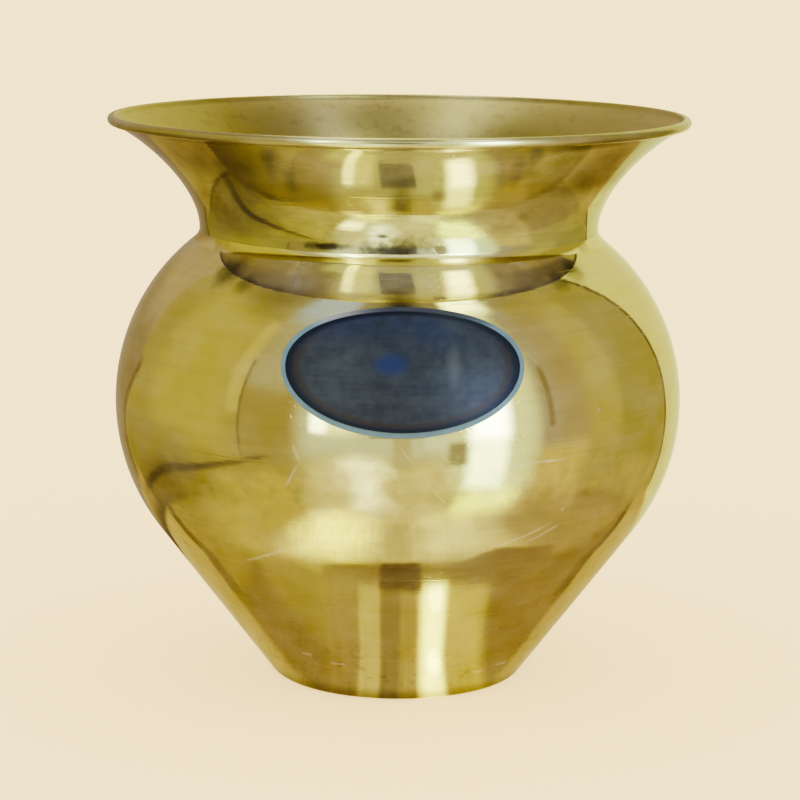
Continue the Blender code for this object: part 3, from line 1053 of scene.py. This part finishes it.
def stage_sheet(name, points):
    """Flat sheet of the stage: one face through these points, with an empty finish to fill."""
    mesh = bpy.data.meshes.new(name)
    mesh.from_pydata(points, [], [tuple(range(len(points)))])
    sheet = bpy.data.objects.new(name, mesh)
    bpy.context.scene.collection.objects.link(sheet)
    material, flow = new_finish(name)
    mesh.materials.append(material)
    return sheet, flow


reach = FLOOR_SIZE / 2
corners = [(-reach, -reach, 0), (reach, -reach, 0), (reach, reach, 0), (-reach, reach, 0)]
floor, flow = stage_sheet("floor", corners)
floor.visible_glossy = False
lit_by_room = [light * (1 - SELF_LIT) / EVEN_LIGHT for light in BACKDROP]
sockets = {"Emission Color": rgba(BACKDROP), "Emission Strength": SELF_LIT}
dull(flow, rgba(lit_by_room), sockets).show("floor")

# %% [markdown]
# What brass looks like is mostly what stands round it. The room is a world of soft panels, each added over
# those before it and placed by azimuth (0 towards the camera, plus to the right) and elevation, in degrees.
# Lamps could do this too, but these edges are softer. First come the side walls and the skylights.

# %% Room and walls
TABLE_GOLD = (0.52, 0.47, 0.185)
OLIVE_WALL = (0.54, 0.51, 0.21)
CEILING = (0.42, 0.40, 0.28)
FAINT_LINE = (0.36, 0.31, 0.16)
DARK_LINE = (0.20, 0.17, 0.07)
WANDER_UP = 0.6  # an edge's wander in elevation, as a share of that in azimuth
# Each panel has its azimuths, its elevations, the softness of its edges and its light.
WALLS = (
    ((-116, -72), (-14, 46), 16, (0.68, 0.65, 0.20)),  # olive wall, where it is lit
    ((-128, -76), (48, 80), 18, (0.34, 0.31, 0.13)),  # its dim upper part
    ((-74, -66.5), (2, 46), 4, (0.82, 0.80, 0.34)),  # pale post
    ((-67, -42), (-19, 16), 4, (0.52, 0.465, 0.21)),  # tan wall
    ((-67, -42), (16, 56), 8, (0.62, 0.62, 0.50)),  # its pale upper part
    ((-67.6, -66.2), (-17, 28), 1, FAINT_LINE),
    ((-68, -34), (52, 78), 12, (0.62, 0.84, 1.6)),  # blue skylight
    ((35, 62), (58, 75), 12, (4.2, 5.2, 3.8)),  # bright skylight
    ((56, 70), (-15, 56), 6, (0.56, 0.53, 0.52)),  # beige wall
    ((68, 82), (-15, 50), 7, (0.57, 0.51, 0.36)),  # its dim part
    ((82, 101), (-12, 46), 12, (0.66, 0.63, 0.28)),  # gold wall
    ((101, 134), (-19, 55), 4, (0.50, 0.48, 0.19)),  # far wall
)

world = bpy.data.worlds.new("studio")
bpy.context.scene.world = world
world.use_nodes = True
world.cycles.sampling_method = "NONE"
world.node_tree.nodes.clear()
flow = Flow(world.node_tree)
direction = flow.node("ShaderNodeTexCoord", output="Generated")
east = direction.part("X")
near = -east.other("Y")
azimuth = flow.math("ARCTAN2", east, near) * math.degrees(1)
elevation = flow.math("ARCSINE", east.other("Z")) * math.degrees(1)


def panel(room, sides, heights, soft, light, wander=0.0):
    """The room with one more panel, between two azimuths and two elevations; its edges may wander."""
    across = azimuth + wander
    up = elevation - wander * WANDER_UP
    return (across.between(*sides, soft) * up.between(*heights, soft)).tint(room, light)


room = elevation.ease(-21, -19).tint(TABLE_GOLD, OLIVE_WALL)
room = elevation.ease(50, 65).tint(room, CEILING)
for wall_panel in WALLS:
    room = panel(room, *wall_panel)
print("wall panels:", len(WALLS))

# %% [markdown]
# The back of the room shows in the vessel's sides, as narrow strips along its outline. Its edges lean, so
# they are written as an azimuth that shifts with the elevation. Two bright windows stand high up behind.

# %% Back of the room
BACK_PALE = (0.40, 0.35, 0.27)
BACK_HIGH = (0.62, 0.56, 0.45)
BACK_BROWN = (0.28, 0.20, 0.105)
BACK_RIGHT = (1.08, 1.18, 0.55)
BACK_WINDOW = (4.0, 4.0, 3.0)
SKYLIGHT_BACK = (2.0, 2.2, 1.6)

left_edge = azimuth - elevation.ease(-16, 4, -151.0, -133.0)
left_back = elevation.ease(2, 18).tint(BACK_PALE, BACK_HIGH)
room = (left_edge.fade(-0.7, 0.7) * elevation.between(-24, 62, 5)).tint(room, left_back)
room = (left_edge.between(0, 3.4, 2) * elevation.between(-22, 3, 6)).tint(room, BACK_BROWN)
right_edge = azimuth + elevation * 0.3
room = (right_edge.between(134.3, 240, 1.4) * elevation.between(-24, 44, 3)).tint(room, BACK_RIGHT)
room = (right_edge.between(132.6, 134.3, 1.2) * elevation.between(-22, 42, 3)).tint(room, DARK_LINE)
high_behind = east.between(-0.13, 0.13, 0.05) * near.fade(-0.3, -0.2) * elevation.between(36, 58, 5)
room = high_behind.tint(room, BACK_WINDOW)
high_left = east.between(-0.28, -0.07, 0.08) * near.between(-0.45, 0.10, 0.10) * elevation.ease(55, 62)
room = high_left.tint(room, SKYLIGHT_BACK)

# %% [markdown]
# The table runs far out under the walls, and the lower half of the bowl mirrors it. Light on a table has no
# straight edges, so those of the larger patches wander, by clouds over the direction.

# %% Far table
WANDER = 22.0  # degrees
# Each panel has its azimuths, its elevations, its softness, its light, and whether its edges wander.
FAR_TABLE = (
    ((-141, -112), (-60, -20), 6, (0.41, 0.345, 0.15), False),  # brown, on the left
    ((-200, -141), (-60, -20), 2, (0.66, 0.57, 0.27), False),  # behind, on the left
    ((-142.5, -140.5), (-52, -20), 1, DARK_LINE, False),
    ((-84, -44), (-66, -21), 16, (0.70, 0.64, 0.21), True),  # warm, on the left
    ((56, 92), (-66, -28), 12, (0.66, 0.56, 0.31), True),  # tan, on the right
    ((88, 133), (-62, -28), 8, (0.46, 0.37, 0.20), True),  # dark, on the right
    ((80, 134), (-29, -18), 4, (0.60, 0.55, 0.25), False),  # far edge, dim
    ((54, 82), (-30, -11), 8, (0.88, 0.80, 0.36), False),  # far edge, lit
    ((134, 200), (-60, -24), 2, (0.66, 0.55, 0.26), False),  # behind, on the right
    ((-40, 56), (-84, -14), 14, (1.05, 1.05, 0.60), True),  # pale, in front
    ((-22, -7), (-54, -13), 15, (2.4, 2.7, 2.3), True),  # bright strip on the left
    ((-44, -28), (-58, -45), 8, (3.4, 3.7, 2.1), False),  # gleam
    ((27, 48), (-58, -20), 12, (2.6, 3.2, 0.8), True),  # bright strip on the right
)

wander = (direction.clouds(4.0, 3.0) - 0.5) * WANDER
for *table_panel, wanders in FAR_TABLE:
    room = panel(room, *table_panel, wander if wanders else 0.0)
print("table panels:", len(FAR_TABLE))

# %% [markdown]
# In front are a pale wall and two windows, which make the highlights on the flare and the belly. A dark
# flag stands between them, in the camera's place, and gives the dark patch in the middle of the neck. It
# comes after the other panels, so it hides what lies behind it.

# %% Front wall and flag
DARK_FLAG = (0.12, 0.13, 0.15)
OLIVE_SHADE = (0.30, 0.26, 0.12)
# Each panel has its azimuths, its elevations, the softness of its edges and its light.
FRONT = (
    ((-41, 56), (-14, 44), 11, (1.0, 1.15, 1.1)),  # front wall
    ((9, 27), (-10, 40), 3, (1.15, 1.4, 1.4)),  # its brighter part
    ((-50, -24), (24, 48), 10, (1.4, 1.75, 1.2)),  # glow round the left window
    ((20, 55), (-30, 58), 12, (1.3, 1.55, 1.1)),  # glow round the right window
    ((27, 43), (-30, -2), 7, (4.1, 5.3, 4.8)),  # right window, below
    ((28, 43), (-4, 28), 9, (9.0, 11.0, 16.0)),  # right window
    ((18.5, 26), (-18, -6), 4, (0.46, 0.46, 0.33)),  # dim patch beside it
    ((-32, -18), (-2, 40), 8, (2.2, 2.6, 1.9)),  # left window, inner side
    ((-36, -29.5), (-2, 46), 4, (5.0, 6.2, 6.6)),  # left window
    ((-35, -29.5), (29, 44), 5, (6.5, 8.0, 5.5)),  # its bright top
    ((-3, 4), (-20, 0), 3, (0.80, 0.82, 0.60)),  # dim strip below the flag
    ((61.5, 64), (-2, 26), 2, FAINT_LINE),
)

for front_panel in FRONT:
    room = panel(room, *front_panel)
flag = (azimuth + elevation * 0.1).between(-12.5, 8.5, 2) * elevation.between(-3, 26, 3)
room = flag.tint(room, DARK_FLAG)

# A shade lies low on the left wall, and the whole room is a little mottled, most on the table.
shade = azimuth.between(-150, -96, 20) * elevation.between(-34, -10, 12) * 0.5
room = shade.tint(room, OLIVE_SHADE)
mottle = (direction.clouds(9.0, 5.0, 0.65) - 0.5) * elevation.ease(-24, -12, 0.9, 0.2)
room = room.brighter(mottle + 1.0)

# Mirrors see the room, dull surfaces an even light, and the camera the cream background.
ray = flow.node("ShaderNodeLightPath", {}, {}, "Is Camera Ray")
seen = ray.other("Is Diffuse Ray").tint(room, (EVEN_LIGHT,) * 3)
seen = ray.tint(seen, BACKDROP)
flow.node("ShaderNodeBackground", {}, {"Color": seen}).show("room", "ShaderNodeOutputWorld")

# %% [markdown]
# A mirror that faces downwards shows what lies right under it, and the room is too far off for that: on a
# cone its stripes would run together towards the bottom. A card just under the floor does better. Only
# mirrors see it, because the floor hides it from everything else. Places on it are in millimetres across
# and ahead of the axis.

# %% Table card
CARD_RADIUS = 0.36
CARD_DROP = 0.0004  # how far the card lies below the floor
CARD_POINTS = 96
CARD_DRIFT = 5.0  # how far the edges of its light wander, in millimetres
CARD_LEFT = (0.53, 0.46, 0.18)
CARD_RIGHT = (0.42, 0.33, 0.17)
CARD_WARM = (0.74, 0.68, 0.26)
CARD_NEAR = (0.40, 0.32, 0.17)
CARD_FRONT = (1.04, 1.02, 0.57)
CARD_WHITE = (1.45, 1.55, 0.95)
CARD_TAN = (0.58, 0.49, 0.28)
CARD_SUN_LEFT = (3.0, 3.4, 0.8)
CARD_SUN_RIGHT = (2.4, 3.0, 0.7)
CARD_OLIVE = (0.82, 0.80, 0.45)

turn = even_turns(CARD_POINTS)
rim = np.column_stack((np.sin(turn), np.cos(turn), 0 * turn)) * CARD_RADIUS - (0, 0, CARD_DROP)
_, flow = stage_sheet("table_card", rim[::-1].tolist())
place = flow.node("ShaderNodeTexCoord", output="Object")
across = place.part("X") * MM
ahead = place.part("Y") * -MM
drift = (place.clouds(90.0, 3.0) - 0.5) * CARD_DRIFT
distance = place.away((0.0, 0.0, 0.0), (1.0, 1.0, 1.0)) * MM
far = distance + drift * 0.5


def patch(light, sides, depths, soft, colour):
    """The card with one more patch of light, between two distances across and two ahead."""
    band = (across + drift * 0.4).between(*sides, soft)
    return (band * (ahead + drift).between(*depths, soft)).tint(light, colour)


light = across.ease(-10, 34).tint(CARD_LEFT, CARD_RIGHT)
light = (across.fade(-34, -16) * ahead.ease(14, 36) * far.ease(48, 62)).tint(light, CARD_WARM)
light = patch(light, (-44, -9), (6, 27), 6, CARD_NEAR)
light = ((across + ahead + drift).ease(68, 84) * across.ease(16, 28)).tint(light, CARD_TAN)
light = (across.between(-46, 44, 14) * far.ease(50, 58) * ahead.ease(34, 46)).tint(light, CARD_FRONT)
light = patch(light, (9, 33), (58, 112), 14, CARD_WHITE)
left_sun = place.away((-0.027, -0.069, 0.0), (0.019, 0.026, 1.0)) + drift * 0.12
light = left_sun.fade(0.15, 1.25).tint(light, CARD_SUN_LEFT)
beam = (across - ahead * 1.2).between(-88, -62, 14) * ahead.ease(76, 104)
light = beam.tint(light, CARD_SUN_RIGHT)
light = patch(light, (-5, 3), (56, 82), 5, CARD_OLIVE)

# Behind the vessel the table is paler.
CARD_BACK = (0.74, 0.67, 0.31)
CARD_FAR_BACK = (1.0, 0.95, 0.60)
side = across.size()
behind = ahead + side * 0.5 + drift * 0.3
pale = ahead.fade(-90, -60).tint(CARD_BACK, CARD_FAR_BACK)
light = behind.fade(23, 27).tint(light, pale)

# %% [markdown]
# Close to the vessel, the taper and the base mirror stripes that stand upright in them. On the table such
# stripes fan out from under the bowl, so they are measured across at one distance and narrow towards the
# axis. In front they end at a brown ring, and the brightest has two glints in it. The back has a few of its
# own.

# %% Stripes close to the vessel
FAN_FOOT = 0.29  # how wide the fan is at the axis, with its width 45 mm ahead as 1
FAN_SPREAD = 0.0157  # how much wider it gets with each millimetre
STRIPE_DARK = (0.42, 0.36, 0.20)
STRIPE_GLOW = (0.95, 0.88, 0.25)
STRIPE_GLINT = (4.0, 4.7, 1.7)
GLINT_CORE = (7.0, 8.0, 4.5)
CARD_LINE = (0.26, 0.20, 0.09)
CARD_RING = (0.37, 0.275, 0.14)
CARD_BROWN = (0.15, 0.085, 0.045)
# Each stripe has its two sides, its softness and its light.
BACK_STRIPES = (
    ((-16, -7), 4, STRIPE_GLOW),
    ((-3, 9), 4, STRIPE_DARK),
    ((13, 19), 4, STRIPE_GLINT),
)
FRONT_STRIPES = (
    ((-23, -12.5), 5, (0.52, 0.42, 0.22)),  # beige
    ((-12.5, -5.5), 2, (0.96, 0.91, 0.42)),  # pale
    ((-5.5, 0.5), 2, STRIPE_DARK),
    ((0.5, 7), 2, (0.66, 0.57, 0.24)),  # middling
    ((7, 31), 7, STRIPE_GLOW),
    ((7, 14.5), 4, STRIPE_GLINT),
)
# Each glint has its middle and its reach.
GLINTS = (
    ((0.0105, -0.0412, 0.0), (0.0026, 0.0036, 1.0)),
    ((0.0085, -0.0288, 0.0), (0.0018, 0.0030, 1.0)),
)

back_fan = across / (ahead * -FAN_SPREAD + FAN_FOOT) + drift * 0.3
back_row = distance.between(8, 46.5, 3) * ahead.fade(-12, -6)
for sides, soft, colour in BACK_STRIPES:
    light = (back_fan.between(*sides, soft) * back_row).tint(light, colour)
light = (behind.between(24, 31, 3) * side.ease(38, 48)).tint(light, CARD_LINE)

fan = across / (ahead * FAN_SPREAD + FAN_FOOT) + drift * 0.3
front_row = far.between(8, 46.5, 3) * ahead.ease(6, 12)
for sides, soft, colour in FRONT_STRIPES:
    light = (fan.between(*sides, soft) * front_row).tint(light, colour)
for middle, reach in GLINTS:
    light = place.away(middle, reach).fade(0.3, 1.2).tint(light, GLINT_CORE)

in_front = ahead.ease(24, 34)
ring_end = (far - across.ease(14, 38, 0.0, 10.0)).fade(50.5, 53.5)
light = (far.ease(43, 46) * ring_end * across.between(-24, 54, 8) * in_front).tint(light, CARD_RING)
light = (far.between(43.5, 53, 2) * across.between(-6, 6.5, 2) * in_front).tint(light, CARD_BROWN)
along_fan = flow.node("ShaderNodeCombineXYZ", {}, {"X": fan * 0.9, "Y": ahead * 0.06})
light = light.brighter(along_fan.clouds(1.0, 3.0, 0.6) * 0.5 + 0.75)
light = light.brighter(place.clouds(70.0, 4.0, 0.6) * 0.6 + 0.7)

# %% [markdown]
# Farther out the card fades away and the room's table takes over. Only a dark line goes on over it: it
# crosses the table on the left and shows low on the bowl's left side, where it bends up towards the edge.

# %% Line on the table, and the card's finish
TABLE_LINE = (0.13, 0.095, 0.035)
BLACK = (0.0, 0.0, 0.0)

bend = ahead.fade(-80, 0, 40.0)
aside = (across + ahead * 0.205 + 141 - bend + drift * 1.2).size()
reach_on = ahead.between(-52, 150, 40) * ahead.ease(-10, 120, 1.0, 0.6)
table_line = (aside.fade(2, 15, 0.8) + aside.fade(4, 42, 0.25)) * reach_on
light = aside.fade(40, 50).tint(light, TABLE_LINE)
close_by = distance.fade(80, 110)
sockets = {"Emission Color": light, "Emission Strength": 1.0, "Alpha": close_by.largest(table_line)}
dull(flow, rgba(BLACK), sockets).show("table card")

# %% [markdown]
# The camera stands where the photograph was taken from: about half a metre away, a little above the lip and
# a touch to the left, with a long lens and a slight roll. Its place came from matching the outline of the
# CAD solids.

# %% Camera
CAMERA_PLACE = Vector((-0.0080, -0.4830, 0.1417))
CAMERA_AIM = Vector((0.00044, 0.0, 0.0514))
CAMERA_ROLL = math.radians(0.45)
CAMERA_LENS = 117.7

camera_data = bpy.data.cameras.new("camera")
camera_data.lens = CAMERA_LENS
camera = bpy.data.objects.new("camera", camera_data)
bpy.context.scene.collection.objects.link(camera)
camera.location = CAMERA_PLACE
facing = (CAMERA_AIM - CAMERA_PLACE).to_track_quat("-Z", "Y")
camera.rotation_euler = (facing @ Quaternion((0, 0, 1), CAMERA_ROLL)).to_euler()
bpy.context.scene.camera = camera
bpy.context.scene.view_settings.view_transform = "AgX"
bpy.context.scene.view_settings.look = "AgX - High Contrast"
print(f"camera {(CAMERA_AIM - CAMERA_PLACE).length * MM:.0f} mm from what it aims at")
